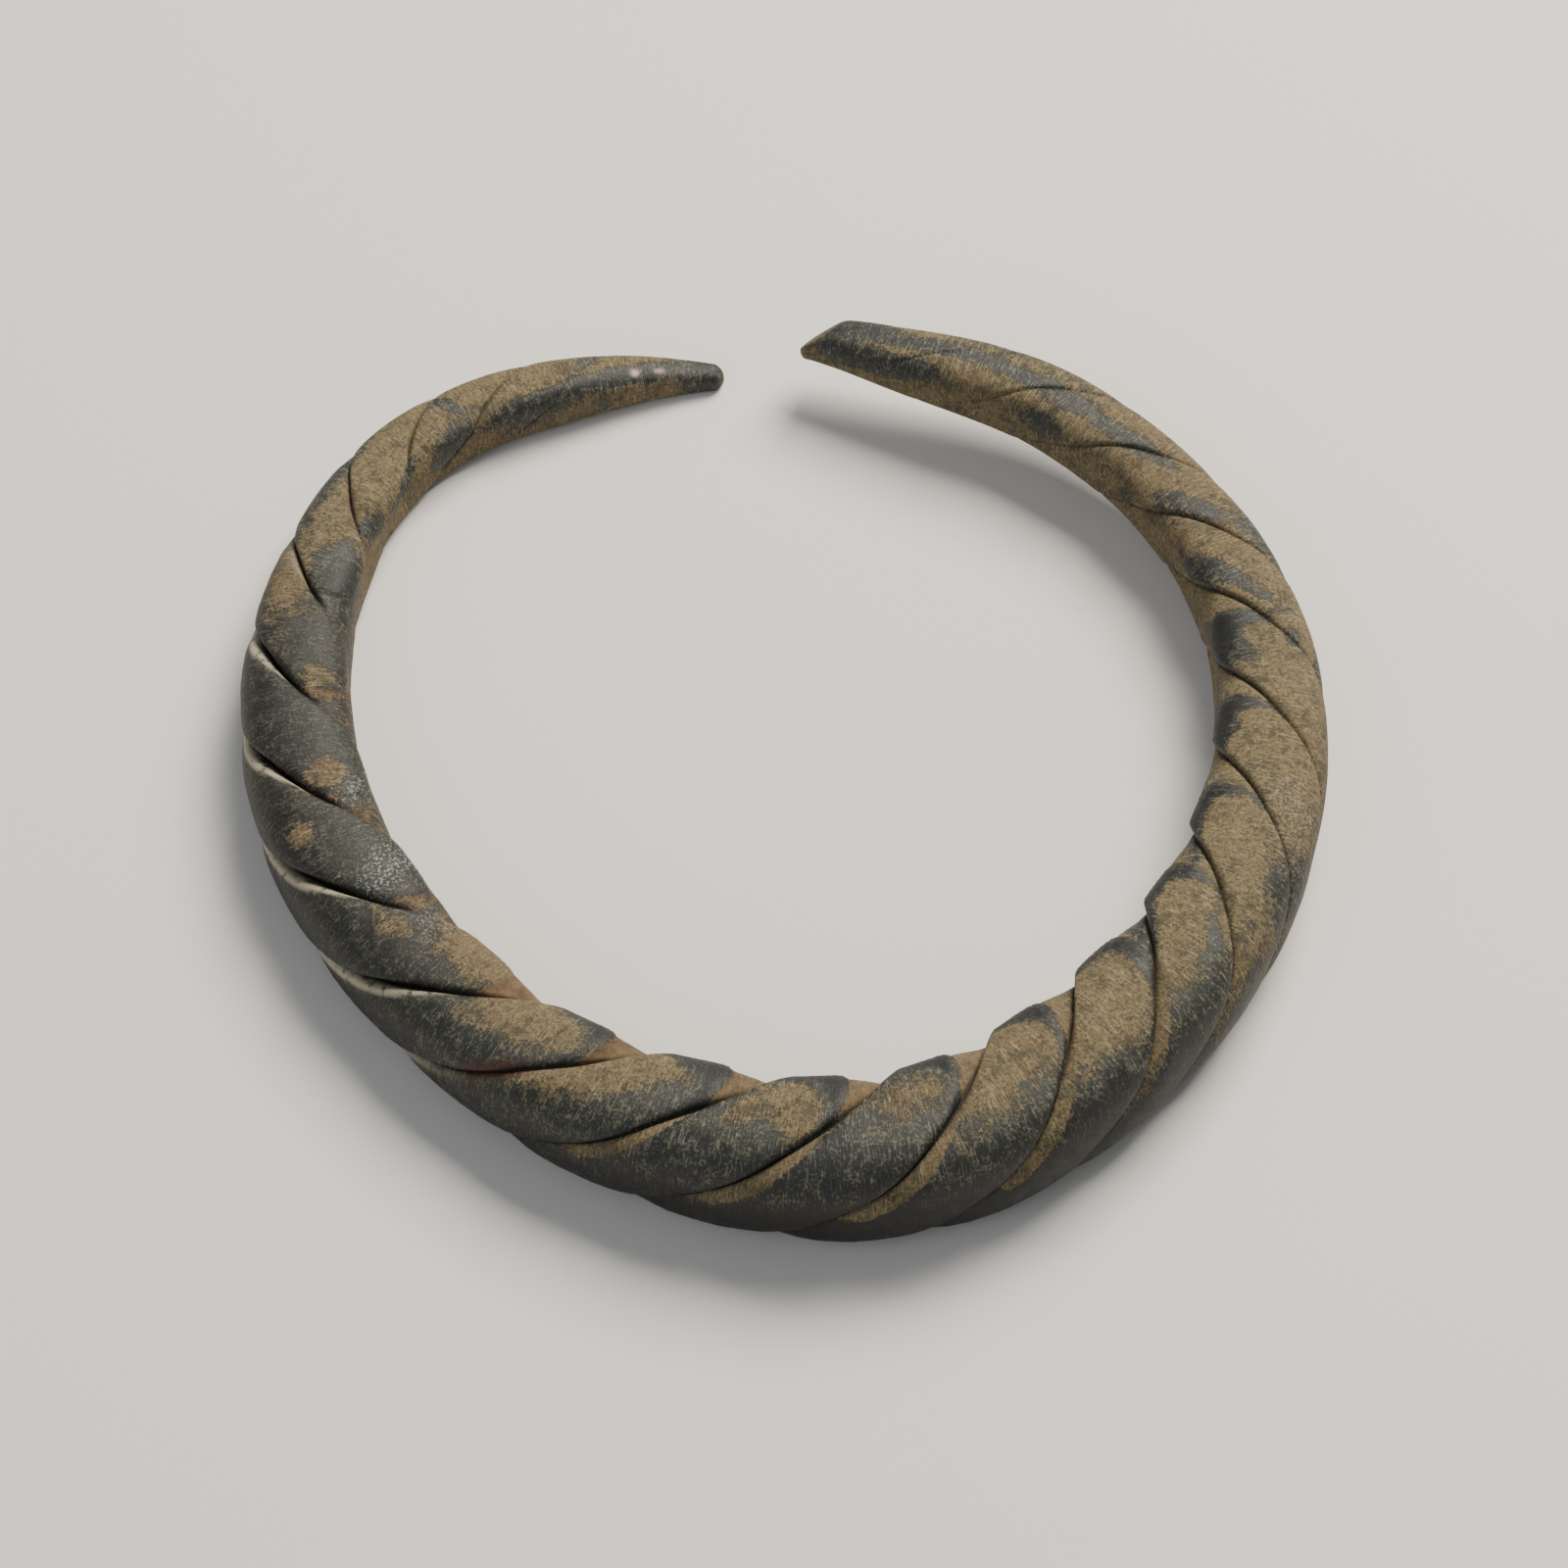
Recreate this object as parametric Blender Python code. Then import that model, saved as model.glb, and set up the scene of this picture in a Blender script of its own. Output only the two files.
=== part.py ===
"""Twisted bangle: one solid cast bronze bar, carved like a rope and bent into an open ring.

The bar is swept along a hand-bent ring that stays open at the back, between two tapering ends.
Four strands wind round it, parted by grooves.  Every surface point comes from one function of two
numbers: how far along the bar it lies, and where between two grooves.

World frame: metres, +Z up.  The origin is on the resting plane, under the middle of the outline.
-Y is the front, where the bar is thickest, and the ends nearly meet at +Y.
Angles round the bar's section start at its top and grow towards the middle of the ring.
"""

import bmesh
import bpy
import numpy as np
from mathutils import Vector

# Driving dimensions, in metres and radians

RING_RADIUS = 0.0358        # middle of the ring to the middle of the bar, on average
BAR_THICKNESS = 0.0112      # the bar at its thickest, across
END_GAP = 0.0059            # between the middles of the two end faces
GAP_BEARING = np.radians(92.2)  # where the gap lies, turned from +X towards +Y
RIGHT_END_LIFT = 0.0040     # how far the right end is bent up off the surface it lies on
WEAR_DEPTH = 0.00015        # depth of the flats that wear has left under the bar
CUT_BACK = 0.0031           # length of the slanting cut on the right end
CUT_SLOPE = np.radians(42)  # how steeply that cut slopes down to the tip

# Proportions of the free form

# The ring's radius as a share of RING_RADIUS, at shares of the way round from the left end.
RING_BEND = (
    (0.00, 0.982), (0.05, 1.012), (0.11, 1.068), (0.18, 1.023), (0.27, 0.966), (0.36, 0.939),
    (0.45, 0.990), (0.53, 1.060), (0.62, 1.018), (0.71, 1.000), (0.80, 1.003), (0.90, 0.976),
    (0.96, 0.952), (1.00, 0.988),
)
# The bar's thickness as a share of BAR_THICKNESS, at shares of its length from the left end.
BAR_TAPER = (
    (0.00, 0.16), (0.05, 0.40), (0.12, 0.51), (0.25, 0.79), (0.40, 0.84),
    (0.54, 0.985), (0.70, 0.88), (0.85, 0.60), (0.95, 0.47), (1.00, 0.27),
)
# The lift of the bar as a share of RIGHT_END_LIFT, at shares of its length.
END_RISE = ((0.00, 0.00), (0.58, 0.00), (0.78, 0.24), (1.00, 1.00))

# Twist

STRANDS = 4                 # strands wound round the bar
FIRST_STRAND = -1.88        # how many strands are counted off before the left end
# The distance along the bar from one groove to the next, at shares of its length.
GROOVE_SPACING = (
    (0.00, 0.0049), (0.12, 0.0081), (0.30, 0.0106), (0.42, 0.0098),
    (0.56, 0.0089), (0.80, 0.0085), (1.00, 0.0090),
)
LEAN = ((0.00, 0.47), (0.50, 0.03), (1.00, 0.26))  # unevenness of the grooves' slant
LEAN_SIDE = 0.756           # angle round the section at which that unevenness turns over

# Section, as shares of the bar's own half thickness

SQUARENESS = 0.045          # swelling of the section's four corners
DOME = 0.030                # swelling of each strand between its grooves
GROOVE_DEPTH = 0.060        # depth of the grooves all round
TOP_GROOVE_DEPTH = 0.055    # further depth of the grooves on top of the bar
FACET_DROP = 0.170          # how far a strand's inner end drops below the round
FACET_START = np.radians(58)    # the ridge above that facet, just after a groove
FACET_END = np.radians(150)     # where the facet runs out, under the inner side
NARROW_BEVEL = 0.06         # width of a groove's bevel on top, as a share of a strand
WIDE_BEVEL = 0.26           # the same on the outer side
LEFT_FADE = 0.012           # length over which the carving dies out at the left end
RIGHT_FADE = 0.028          # the same at the right end
FADED_CARVING = 0.30        # share of the carving's depth that is left at the ends
TIP_ROUNDING = 0.0008       # length over which each end is rounded off

# Mesh

RINGS = 172                 # sections along the bar
END_RINGS = 5               # further sections that round off each end
STRAND_LINES = (0.00, 0.07, 0.24, 0.44, 0.64, 0.82, 0.94)  # mesh lines across one strand
PATH_SAMPLES = 4001         # points at which the ring's curve is measured


def smooth_curve(stations, where):
    """A smooth curve through (place, value) stations, read at the places given."""
    places, values = np.array(stations, float).T
    slopes = np.gradient(values, places)
    left = np.clip(np.searchsorted(places, where, side="right") - 1, 0, len(places) - 2)
    width = places[left + 1] - places[left]
    t = (where - places[left]) / width
    start = (1 + 2 * t) * (1 - t) ** 2 * values[left] + t * (1 - t) ** 2 * width * slopes[left]
    stop = t**2 * (3 - 2 * t) * values[left + 1] + t**2 * (t - 1) * width * slopes[left + 1]
    return start + stop


def ease(value):
    """Rise smoothly from 0 to 1 while value goes from 0 to 1."""
    t = np.clip(value, 0, 1)
    return t * t * (3 - 2 * t)


class Bar:
    """The middle line of the bar and what changes along it, measured once at many places."""

    def __init__(self):
        half_gap = END_GAP / 2 / RING_RADIUS
        share = np.linspace(0, 1, PATH_SAMPLES)
        bearing = GAP_BEARING + half_gap + share * (2 * np.pi - 2 * half_gap)
        radius = RING_RADIUS * smooth_curve(RING_BEND, share)
        self.x = radius * np.cos(bearing)
        self.y = radius * np.sin(bearing)
        steps = np.hypot(np.diff(self.x), np.diff(self.y))
        self.along = np.concatenate([[0], np.cumsum(steps)])
        self.length = self.along[-1]
        along_share = self.along / self.length
        per_metre = 1 / smooth_curve(GROOVE_SPACING, along_share)
        strands = (per_metre[1:] + per_metre[:-1]) / 2 * np.diff(self.along)
        self.strands = FIRST_STRAND + np.concatenate([[0], np.cumsum(strands)])

    def half_thickness(self, along):
        """Half the bar's thickness, rounded off within TIP_ROUNDING of each end."""
        half = BAR_THICKNESS / 2 * smooth_curve(BAR_TAPER, along / self.length)
        from_end = np.minimum(along, self.length - along)
        short = 1 - np.clip(from_end / TIP_ROUNDING, 0, 1)
        return half * np.sqrt(np.clip(1 - short**2, 0.04, 1))

    def middle(self, along):
        """The middle line, which rises with the bar's own thickness and the right end's lift."""
        x = np.interp(along, self.along, self.x)
        y = np.interp(along, self.along, self.y)
        half = BAR_THICKNESS / 2 * smooth_curve(BAR_TAPER, along / self.length)
        lift = RIGHT_END_LIFT * smooth_curve(END_RISE, along / self.length)
        height = half * (1 - SQUARENESS + DOME) - WEAR_DEPTH + lift
        return np.stack([x, y, height], axis=-1)

    def inward(self, along):
        """The level direction square to the bar that points to the middle of the ring."""
        reach = self.length / PATH_SAMPLES
        ahead = self.middle(np.clip(along + reach, 0, self.length))
        behind = self.middle(np.clip(along - reach, 0, self.length))
        run = ahead - behind
        level = np.hypot(run[..., 0], run[..., 1])
        return np.stack([-run[..., 1] / level, run[..., 0] / level, 0 * level], axis=-1)


def section_angle(bar, along, strand):
    """Where round the section a line lies that follows the strands, in radians."""
    turned = np.interp(along, bar.along, bar.strands) - strand
    even = 2 * np.pi / STRANDS * turned
    lean = smooth_curve(LEAN, along / bar.length)
    angle = even + lean * np.sin(even - LEAN_SIDE)
    return (angle + np.pi) % (2 * np.pi) - np.pi


def section_share(bar, along, angle, across):
    """Distance from the middle line to the surface, as a share of the half thickness.

    across runs from 0 at a groove to 1 at the next one towards the right end.
    """
    carving = FADED_CARVING + (1 - FADED_CARVING) * (
        ease(along / LEFT_FADE) * ease((bar.length - along) / RIGHT_FADE)
    )
    corners = SQUARENESS * -np.cos(4 * angle)
    dome = DOME * np.sin(np.pi * across)
    depth = GROOVE_DEPTH + TOP_GROOVE_DEPTH * np.clip(np.cos(angle), 0, 1)
    outward = ease((np.radians(20) - angle) / np.radians(100))
    bevel = NARROW_BEVEL + (WIDE_BEVEL - NARROW_BEVEL) * outward
    groove = depth * np.clip(1 - across / bevel, 0, 1)
    ridge = FACET_START * (1 - across**3)
    past_ridge = np.clip((angle - ridge) / (FACET_END - ridge), 0, 1)
    facet = FACET_DROP * (0.35 + 0.65 * across**2) * np.sin(np.pi * past_ridge)
    return 1 + corners + carving * (dome - groove - facet)


def surface_points(bar, along, strand, across):
    """Points of the carved surface, one for each along, strand and across given."""
    angle = section_angle(bar, along, strand + across)
    radius = bar.half_thickness(along) * section_share(bar, along, angle, across)
    upward = np.array([0.0, 0.0, 1.0])
    inward = bar.inward(along)
    offset = np.cos(angle)[..., None] * upward + np.sin(angle)[..., None] * inward
    return bar.middle(along) + radius[..., None] * offset


def section_places(bar):
    """Places along the bar of all sections, closer together where the ends are rounded off."""
    rounding = TIP_ROUNDING * (1 - np.cos(np.linspace(0, np.pi / 2, END_RINGS + 1)))
    body = np.linspace(TIP_ROUNDING, bar.length - TIP_ROUNDING, RINGS)
    return np.concatenate([rounding[:-1], body, (bar.length - rounding[:-1])[::-1]])


def carved_bar(bar):
    """A closed mesh of the whole bar: rows of faces between sections, and one face at each end."""
    along = section_places(bar)[:, None]
    lines = len(STRAND_LINES)
    strand = np.repeat(np.arange(STRANDS), lines)[None, :]
    across = np.tile(STRAND_LINES, STRANDS)[None, :]
    along, strand, across = np.broadcast_arrays(along, strand, across)
    points = surface_points(bar, along, strand, across)
    mesh = bmesh.new()
    rows = [[mesh.verts.new(point) for point in row] for row in points]
    around = STRANDS * lines
    for row, next_row in zip(rows, rows[1:]):
        for i in range(around):
            j = (i + 1) % around
            mesh.faces.new((row[i], row[j], next_row[j], next_row[i]))
    mesh.faces.new(rows[0][::-1])
    mesh.faces.new(rows[-1])
    return mesh


def cut_flat(mesh, point, normal, reach=np.inf):
    """Take away what lies beyond a plane, within reach of a point on it, and close the cut."""
    near = [face for face in mesh.faces
            if max((vert.co - Vector(point)).length for vert in face.verts) < reach]
    geometry = {item for face in near for item in (face, *face.edges, *face.verts)}
    bmesh.ops.bisect_plane(mesh, geom=list(geometry), dist=1e-7, plane_co=point,
                           plane_no=normal, clear_outer=True)
    rim = [edge for edge in mesh.edges if edge.is_boundary]
    bmesh.ops.holes_fill(mesh, edges=rim, sides=0)


def cut_right_end(mesh, bar):
    """Slant the top of the right end down to its tip."""
    tip = bar.middle(np.array(bar.length))
    before = bar.middle(np.array(bar.length - 2 * CUT_BACK))
    forward = (tip - before) / np.linalg.norm(tip - before)
    outward = -bar.inward(np.array(bar.length))
    upward = np.array([0.0, 0.0, 1.0])
    normal = np.sin(CUT_SLOPE) * forward + np.cos(CUT_SLOPE) * (upward * 0.8 + outward * 0.6)
    half = bar.half_thickness(np.array(bar.length - CUT_BACK))
    point = tip - CUT_BACK * forward + half * (upward * 0.8 + outward * 0.6)
    cut_flat(mesh, tuple(point), tuple(normal), reach=3 * CUT_BACK)


def centre_outline(mesh):
    """Bring the middle of the outline over the origin, with the resting plane at zero height."""
    places = np.array([vert.co[:] for vert in mesh.verts])
    middle = (places.min(axis=0) + places.max(axis=0)) / 2
    bmesh.ops.translate(mesh, verts=mesh.verts, vec=(-middle[0], -middle[1], -places[:, 2].min()))


def bronze():
    """Dark, dull grey-green patina."""
    material = bpy.data.materials.new("bronze_patina")
    material.use_nodes = True
    shader = material.node_tree.nodes["Principled BSDF"]
    shader.inputs["Base Color"].default_value = (0.115, 0.100, 0.072, 1)
    shader.inputs["Roughness"].default_value = 0.62
    shader.inputs["Metallic"].default_value = 0.25
    return material


def build():
    """Make the bangle as one closed solid."""
    for old in list(bpy.data.objects):
        bpy.data.objects.remove(old)
    bar = Bar()
    mesh = carved_bar(bar)
    cut_right_end(mesh, bar)
    cut_flat(mesh, (0, 0, 0), (0, 0, -1))
    centre_outline(mesh)
    bmesh.ops.triangulate(mesh, faces=mesh.faces)
    bmesh.ops.recalc_face_normals(mesh, faces=mesh.faces)
    data = bpy.data.meshes.new("bangle")
    mesh.to_mesh(data)
    mesh.free()
    data.shade_smooth()
    data.set_sharp_from_angle(angle=np.radians(35))
    data.materials.append(bronze())
    bangle = bpy.data.objects.new("bangle", data)
    bpy.context.scene.collection.objects.link(bangle)
    return bangle


build()
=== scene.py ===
# %% [markdown]
# # A twisted bronze bangle
#
# The object is one bar of bronze, wound like a rope from four strands and bent into an open ring.
# It has lain in the ground for a very long time.  Its metal has a dark, dull patina, and buff soil
# has dried into every hollow.  The bangle is made here as one fine surface that takes the place of
# the plain solid, and that surface then gets a finish of patina, soil, worn edges and scratches.

import math

import bpy
import numpy as np
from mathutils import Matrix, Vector


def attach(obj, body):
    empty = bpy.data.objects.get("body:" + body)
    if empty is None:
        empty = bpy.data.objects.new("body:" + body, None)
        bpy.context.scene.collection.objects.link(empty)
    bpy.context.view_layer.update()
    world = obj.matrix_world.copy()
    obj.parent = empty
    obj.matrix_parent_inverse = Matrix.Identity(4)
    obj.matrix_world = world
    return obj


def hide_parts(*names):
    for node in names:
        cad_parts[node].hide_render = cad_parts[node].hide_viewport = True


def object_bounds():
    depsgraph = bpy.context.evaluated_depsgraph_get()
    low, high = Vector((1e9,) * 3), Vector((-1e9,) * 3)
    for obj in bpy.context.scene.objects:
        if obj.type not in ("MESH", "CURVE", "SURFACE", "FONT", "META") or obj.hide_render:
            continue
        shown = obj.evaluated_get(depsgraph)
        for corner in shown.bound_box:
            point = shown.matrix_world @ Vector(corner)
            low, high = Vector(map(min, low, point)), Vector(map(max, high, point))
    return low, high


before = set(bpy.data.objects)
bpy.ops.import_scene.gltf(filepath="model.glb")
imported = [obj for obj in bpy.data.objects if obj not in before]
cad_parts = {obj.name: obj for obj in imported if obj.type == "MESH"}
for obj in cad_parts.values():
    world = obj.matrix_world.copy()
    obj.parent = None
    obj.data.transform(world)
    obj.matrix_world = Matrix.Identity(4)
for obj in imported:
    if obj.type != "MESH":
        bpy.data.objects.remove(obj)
SOLID_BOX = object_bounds()
MM = 0.001
print("solid, mm:", [round(side / MM, 2) for side in SOLID_BOX[1] - SOLID_BOX[0]])

# %% [markdown]
# ## The sizes of the bar
#
# The fine surface follows the same named sizes as the solid: a ring that is bent by hand, so its
# radius wanders, a bar that tapers to both ends, and grooves whose spacing changes along the bar.
# Each of these is a smooth curve through a few stations, which is easier to read and to change
# than a long list of points.

# %% Sizes
RING_RADIUS = 35.8 * MM
BAR_THICKNESS = 11.2 * MM
END_GAP = 5.9 * MM
GAP_BEARING = math.radians(92.2)
RIGHT_END_LIFT = 4.0 * MM
WEAR_DEPTH = 0.15 * MM
CUT_BACK = 3.1 * MM
CUT_SLOPE = math.radians(42)
TIP_ROUNDING = 0.8 * MM

RING_BEND = (
    (0.00, 0.982), (0.05, 1.012), (0.11, 1.068), (0.18, 1.023), (0.27, 0.966), (0.36, 0.939),
    (0.45, 0.990), (0.53, 1.060), (0.62, 1.018), (0.71, 1.000), (0.80, 1.003), (0.90, 0.976),
    (0.96, 0.952), (1.00, 0.988),
)
BAR_TAPER = (
    (0.00, 0.16), (0.05, 0.40), (0.12, 0.51), (0.25, 0.79), (0.40, 0.84),
    (0.54, 0.985), (0.70, 0.88), (0.85, 0.60), (0.95, 0.47), (1.00, 0.27),
)
END_RISE = ((0.00, 0.00), (0.58, 0.00), (0.78, 0.24), (1.00, 1.00))
STRANDS = 4
FIRST_STRAND = -1.88
GROOVE_SPACING = (
    (0.00, 4.9 * MM), (0.12, 8.1 * MM), (0.30, 10.6 * MM), (0.42, 9.8 * MM),
    (0.56, 8.9 * MM), (0.80, 8.5 * MM), (1.00, 9.0 * MM),
)
LEAN = ((0.00, 0.47), (0.50, 0.03), (1.00, 0.26))
LEAN_SIDE = 0.756


def smooth_curve(stations, where):
    """A cubic through (place, value) stations whose slope at each is that of its neighbours."""
    places, values = np.array(stations, float).T
    slopes = np.gradient(values, places)
    left = np.clip(np.searchsorted(places, where, side="right") - 1, 0, len(places) - 2)
    width = places[left + 1] - places[left]
    t = (where - places[left]) / width
    start = (1 + 2 * t) * (1 - t) ** 2 * values[left] + t * (1 - t) ** 2 * width * slopes[left]
    stop = t**2 * (3 - 2 * t) * values[left + 1] + t**2 * (t - 1) * width * slopes[left + 1]
    return start + stop


def ease(value):
    """3t² - 2t³ for t from 0 to 1: a rise with no corner at either end."""
    t = np.clip(value, 0, 1)
    return t * t * (3 - 2 * t)


# %% [markdown]
# ## The middle line
#
# A real bangle like this starts as a straight bar and is bent round a former.  The middle line is
# therefore a ring whose radius is a smooth curve of the way round, open at the back.  It also
# rises: the bar lies on its underside, so its middle is half a thickness up, and the right end
# is bent up off the table.  Lengths along the bar come from summing the short steps of that line.

# %% Middle line
PATH_SAMPLES = 4001
half_gap = END_GAP / 2 / RING_RADIUS
way_round = np.linspace(0, 1, PATH_SAMPLES)
bearing = GAP_BEARING + half_gap + way_round * (2 * np.pi - 2 * half_gap)
path_radius = RING_RADIUS * smooth_curve(RING_BEND, way_round)
path_x = path_radius * np.cos(bearing)
path_y = path_radius * np.sin(bearing)
path_along = np.concatenate([[0], np.cumsum(np.hypot(np.diff(path_x), np.diff(path_y)))])
LENGTH = path_along[-1]
grooves_per_metre = 1 / smooth_curve(GROOVE_SPACING, path_along / LENGTH)
groove_steps = (grooves_per_metre[1:] + grooves_per_metre[:-1]) / 2 * np.diff(path_along)
path_strands = FIRST_STRAND + np.concatenate([[0], np.cumsum(groove_steps)])

SQUARENESS = 0.045
DOME = 0.030


def half_thickness(along):
    """Half the bar's thickness: the taper, times a quarter circle within each rounded end."""
    half = BAR_THICKNESS / 2 * smooth_curve(BAR_TAPER, along / LENGTH)
    short = 1 - np.clip(np.minimum(along, LENGTH - along) / TIP_ROUNDING, 0, 1)
    return half * np.sqrt(np.clip(1 - short**2, 0.0004, 1))


def middle(along):
    """The middle line at these lengths along the bar."""
    half = BAR_THICKNESS / 2 * smooth_curve(BAR_TAPER, along / LENGTH)
    lift = RIGHT_END_LIFT * smooth_curve(END_RISE, along / LENGTH)
    height = half * (1 - SQUARENESS + DOME) - WEAR_DEPTH + lift
    x = np.interp(along, path_along, path_x)
    y = np.interp(along, path_along, path_y)
    return np.stack([x, y, height], axis=-1)


def inward(along):
    """The level direction square to the middle line, towards the middle of the ring."""
    reach = LENGTH / PATH_SAMPLES
    run = middle(np.clip(along + reach, 0, LENGTH)) - middle(np.clip(along - reach, 0, LENGTH))
    level = np.hypot(run[..., 0], run[..., 1])
    return np.stack([-run[..., 1] / level, run[..., 0] / level, 0 * level], axis=-1)


print("length of the bar, mm:", round(LENGTH / MM, 1))

# %% [markdown]
# ## A grid that follows the strands
#
# The surface is a grid.  One direction runs along the bar; the other goes round it, and its lines
# wind with the strands, so that a groove never cuts across a face.  The lines crowd together at
# each groove, where the surface bends most, and spread out on the smooth back of a strand.

# %% Grid
SECTIONS = 1060
END_SECTIONS = 14
ACROSS = np.array([
    0.000, 0.012, 0.028, 0.050, 0.080, 0.120, 0.170, 0.230, 0.300, 0.380, 0.460,
    0.540, 0.620, 0.700, 0.770, 0.830, 0.880, 0.920, 0.950, 0.972, 0.988,
])
end_steps = TIP_ROUNDING * (1 - np.cos(np.linspace(0, np.pi / 2, END_SECTIONS + 1)))[:-1]
body_steps = np.linspace(TIP_ROUNDING, LENGTH - TIP_ROUNDING, SECTIONS)
along = np.concatenate([end_steps, body_steps, (LENGTH - end_steps)[::-1]])[:, None]
across = np.tile(ACROSS, STRANDS)[None, :]
strand = np.repeat(np.arange(STRANDS), len(ACROSS))[None, :]
along, across, strand = (a.astype(float) for a in np.broadcast_arrays(along, across, strand))
share = along / LENGTH

turned = np.interp(along, path_along, path_strands) - strand - across
even = 2 * np.pi / STRANDS * turned
angle = even + smooth_curve(LEAN, share) * np.sin(even - LEAN_SIDE)
angle = (angle + np.pi) % (2 * np.pi) - np.pi
print("grid:", along.shape, "points:", along.size)

# %% [markdown]
# ## Noise
#
# Wear, corrosion and dried soil are uneven in a way that no formula of the twist gives.  Value
# noise does: each corner of a lattice gets a fixed number from a hash of its whole coordinates,
# and points between are blended smoothly.  A hash, unlike a random generator, gives the same
# number each time the script runs.

# %% Noise
def lattice_value(corner, seed):
    """A number from -1 to 1 for each whole-numbered corner: a hash of its three coordinates."""
    key = corner[..., 0] * 73856093 ^ corner[..., 1] * 19349663 ^ corner[..., 2] * 83492791
    key = (key ^ seed * 2654435761) & 0xFFFFFFFF
    key = (key ^ key >> 15) * 2246822519 & 0xFFFFFFFF
    key = (key ^ key >> 13) * 3266489917 & 0xFFFFFFFF
    return (key ^ key >> 16) / 0x7FFFFFFF - 1


def noise(points, size, seed, octaves=1):
    """Smooth value noise, from -1 to 1, in lumps of this size; each octave halves both."""
    total, weight = 0.0, 0.0
    for octave in range(octaves):
        place = points / (size / 2**octave)
        corner = np.floor(place).astype(np.int64)
        blend = ease(place - corner)
        value = 0.0
        for step in np.ndindex(2, 2, 2):
            chance = np.prod(np.where(np.array(step) == 1, blend, 1 - blend), axis=-1)
            value = value + chance * lattice_value(corner + np.array(step), seed + octave)
        total = total + value / 2**octave
        weight += 1 / 2**octave
    return total / weight


# %% [markdown]
# ## The carved section
#
# Seen end on, the bar is a rounded square.  On it each strand swells a little, its groove is cut
# as a V with one steep side, and on the outer side of the bar the gentle side of the V widens to
# a bevel.  At the inner side every strand ends in a leaf-shaped tip: a ridge runs across from the
# groove, and beyond it the metal drops by a small step to a sloping facet.  All of these are
# shares of the bar's own half thickness, so they shrink with it towards the ends.

# %% Section
GROOVE_DEPTH = 0.060
TOP_GROOVE_DEPTH = 0.055
FACET_DROP = 0.170
FACET_START = math.radians(58)
FACET_END = math.radians(150)
NARROW_BEVEL = 0.06
WIDE_BEVEL = 0.26
WORN_INSIDE = 0.70   # share of the groove that is gone on the inner side of the left arm
WORN_OUTSIDE = 0.45  # share that is gone on top of the right arm
WORN_FORM = 0.35     # share of the facets, left, and of the swelling, right, that is gone
# How much of the carving is left, at shares of the bar's length: both ends are nearly smooth.
CARVING_ALONG = (
    (0.00, 0.12), (0.05, 0.14), (0.09, 0.65), (0.13, 0.95), (0.20, 1.00), (0.62, 1.00),
    (0.72, 0.88), (0.82, 0.80), (0.89, 0.50), (0.95, 0.25), (1.00, 0.20),
)

half = half_thickness(along)
spacing = smooth_curve(GROOVE_SPACING, share)
carving = smooth_curve(CARVING_ALONG, share)
left_arm = ease((share - 0.17) / 0.05) * ease((0.40 - share) / 0.05)
right_arm = ease((share - 0.60) / 0.08)
outer_side = ease((math.radians(20) - angle) / math.radians(100))
bevel_width = NARROW_BEVEL + (WIDE_BEVEL - NARROW_BEVEL) * outer_side
bevel = np.clip(1 - across / bevel_width, 0, 1)
groove_depth = GROOVE_DEPTH + TOP_GROOVE_DEPTH * np.clip(np.cos(angle), 0, 1)
worn_inside = WORN_INSIDE * left_arm * ease((angle + 0.1) / 0.6)
worn_outside = WORN_OUTSIDE * right_arm * ease((0.8 - angle) / 0.5)
groove_depth = groove_depth * (1 - worn_inside) * (1 - worn_outside)
ridge = FACET_START * (1 - across**3)
past_ridge = np.clip((angle - ridge) / (FACET_END - ridge), 0, 1)
facet = FACET_DROP * (0.35 + 0.65 * across**2) * np.sin(np.pi * past_ridge)
facet = facet * (1 - WORN_FORM * left_arm)
corners = -SQUARENESS * np.cos(4 * angle)
dome = DOME * np.sin(np.pi * across) * (1 - WORN_FORM * right_arm)
plain_share = 1 + corners + carving * (dome - groove_depth * bevel - facet)
print("share of the half thickness:", plain_share.min().round(3), "to", plain_share.max().round(3))

# %% [markdown]
# ## Fine relief
#
# A step away, the solid's form is enough.  Close up, each groove is a dark crack with an edge
# that drops into it, the leaf tips stand a fifth of a millimetre proud of their facets, and the
# skin of the metal is lumpy and pitted.  These depths are real lengths, in millimetres, because
# corrosion doesn't shrink with the bar.

# %% Relief
CRACK_WIDTH = 0.16 * MM
CRACK_DEPTH = 0.30 * MM
LIP_WIDTH = 0.45 * MM
LIP_DROP = 0.16 * MM
STEP_HEIGHT = 0.20 * MM
STEP_WIDTH = 0.30 * MM
RIM_HEIGHT = 0.06 * MM
RIM_WIDTH = 0.55 * MM
STRAND_SLANT = 0.72  # a strand's width over the distance along the bar between its grooves
OPEN_CRACK_WIDER = 0.8   # how much wider, and deeper, the open cracks of the left arm are
OPEN_CRACK_DEEPER = 2.4
WAVE_SIZE, WAVE_HEIGHT = 5.0 * MM, 0.07 * MM
LUMP_SIZE, LUMP_HEIGHT = 1.3 * MM, 0.035 * MM
PIT_SIZE, PIT_DEPTH = 0.7 * MM, 0.12 * MM
SMOOTH_END = 2.5 * MM

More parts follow.
